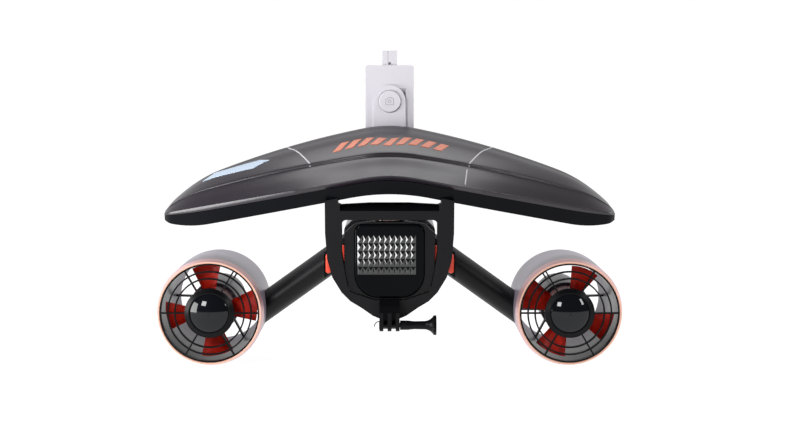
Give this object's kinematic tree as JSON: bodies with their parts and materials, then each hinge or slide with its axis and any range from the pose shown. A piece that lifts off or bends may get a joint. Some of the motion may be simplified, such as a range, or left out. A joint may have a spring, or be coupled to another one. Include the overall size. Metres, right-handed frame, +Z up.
{
  "type": "underwater scooter",
  "caption": "Hand-held twin-duct underwater scooter with a swept float, grilled ducted screws, trigger handles, a slide-out battery, a camera mount and a rear accessory mast.",
  "frame": {"origin": "on the ground, below the middle of the scooter's bounding box", "axes": "+Z up, +X across the two ducts, -Y towards the nose and +Y towards the rider"},
  "size_m": [0.491, 0.27, 0.3312],
  "materials": {
    "charcoal_shell": "satin charcoal",
    "lavender_shell": "satin light grey with a violet tint",
    "gloss_black": "polished black",
    "dark_plastic": "matt black",
    "rose_gold": "satin anodised rose gold",
    "red_orange": "satin red-orange",
    "copper": "satin copper",
    "white_shell": "satin off-white",
    "seam_grey": "light grey",
    "label_blue": "pale blue film",
    "foam": "closed-cell foam",
    "rubber_black": "matt rubber",
    "steel": "brushed stainless steel",
    "copper_wire": "enamelled copper",
    "board_green": "circuit board",
    "cell_wrap": "cell wrap"
  },
  "bodies": {
    "scooter": {"battery_bay": "dark_plastic", "bracket_studs": "steel", "camera_mount": "dark_plastic", "control_board": "board_green", "display_window": "gloss_black", "float_badge": "copper", "float_bracket": "charcoal_shell", "float_foam": "foam", "float_label": "label_blue", "float_lower_shell": "dark_plastic", "float_seams": "seam_grey", "float_upper_shell": "charcoal_shell", "left_arm": "charcoal_shell", "left_duct_liner": "gloss_black", "left_duct_shell": "lavender_shell", "left_front_grille": "dark_plastic", "left_motor_bearings": "steel", "left_motor_cable": "rubber_black", "left_motor_can": "lavender_shell", "left_motor_stator": "copper_wire", "left_nose_cap": "gloss_black", "left_rear_vanes": "dark_plastic", "left_rim_ring": "rose_gold", "left_trigger_pin": "steel", "mast_front_shell": "white_shell", "mast_post": "white_shell", "mast_rear_shell": "white_shell", "mast_screws": "steel", "mount_nut": "steel", "pod_bezel": "charcoal_shell", "pod_lower_shell": "lavender_shell", "pod_screws": "steel", "pod_tail_cap": "charcoal_shell", "pod_upper_shell": "lavender_shell", "right_arm": "charcoal_shell", "right_duct_liner": "gloss_black", "right_duct_shell": "lavender_shell", "right_front_grille": "dark_plastic", "right_motor_bearings": "steel", "right_motor_cable": "rubber_black", "right_motor_can": "lavender_shell", "right_motor_stator": "copper_wire", "right_nose_cap": "gloss_black", "right_rear_vanes": "dark_plastic", "right_rim_ring": "rose_gold", "right_trigger_pin": "steel", "tether_eye": "steel"},
    "battery": {"battery_case": "dark_plastic", "battery_cells": "cell_wrap", "battery_lens": "gloss_black"},
    "lock_knob": {"lock_knob": "copper"},
    "thumbscrew": {"thumbscrew": "dark_plastic"},
    "power_button": {"power_button": "red_orange"},
    "shutter_button": {"shutter_button": "white_shell"},
    "left_screw": {"left_propeller": "red_orange", "left_motor_rotor": "steel"},
    "left_trigger": {"left_trigger": "red_orange"},
    "right_screw": {"right_propeller": "red_orange", "right_motor_rotor": "steel"},
    "right_trigger": {"right_trigger": "red_orange"}
  },
  "joints": [
    {"name": "left_screw_spin", "type": "hinge", "parent": "scooter", "child": "left_screw", "pos_m": [-0.189, -0.035, 0.0565], "axis": [0, 1, 0], "continuous": true},
    {"name": "left_trigger_pull", "type": "hinge", "parent": "scooter", "child": "left_trigger", "pos_m": [-0.05517, -0.022, 0.1115], "axis": [0.5822, 0, -0.813], "range_deg": [0, 9], "stiffness_Nm_per_rad": 0.5, "springref_deg": -5.73},
    {"name": "right_screw_spin", "type": "hinge", "parent": "scooter", "child": "right_screw", "pos_m": [0.189, -0.035, 0.0565], "axis": [0, 1, 0], "continuous": true},
    {"name": "right_trigger_pull", "type": "hinge", "parent": "scooter", "child": "right_trigger", "pos_m": [0.05517, -0.022, 0.1115], "axis": [0.5822, 0, 0.813], "range_deg": [0, 9], "stiffness_Nm_per_rad": 0.5, "springref_deg": -5.73},
    {"name": "battery_slide", "type": "slide", "parent": "scooter", "child": "battery", "axis": [0, -1, 0], "range_m": [0, 0.14]},
    {"name": "lock_knob_turn", "type": "hinge", "parent": "scooter", "child": "lock_knob", "pos_m": [0, -0.088, 0.158], "axis": [0, 0, 1], "range_deg": [0, 90]},
    {"name": "thumbscrew_turn", "type": "hinge", "parent": "scooter", "child": "thumbscrew", "pos_m": [0, -0.121, 0.0528], "axis": [1, 0, 0], "continuous": true},
    {"name": "power_press", "type": "slide", "parent": "scooter", "child": "power_button", "axis": [0, 0, -1], "range_m": [0, 0.0012], "stiffness_N_per_m": 800, "springref_m": -0.001},
    {"name": "shutter_press", "type": "slide", "parent": "scooter", "child": "shutter_button", "axis": [0, 1, 0], "range_m": [0, 0.0015], "stiffness_N_per_m": 800, "springref_m": -0.001}
  ]
}
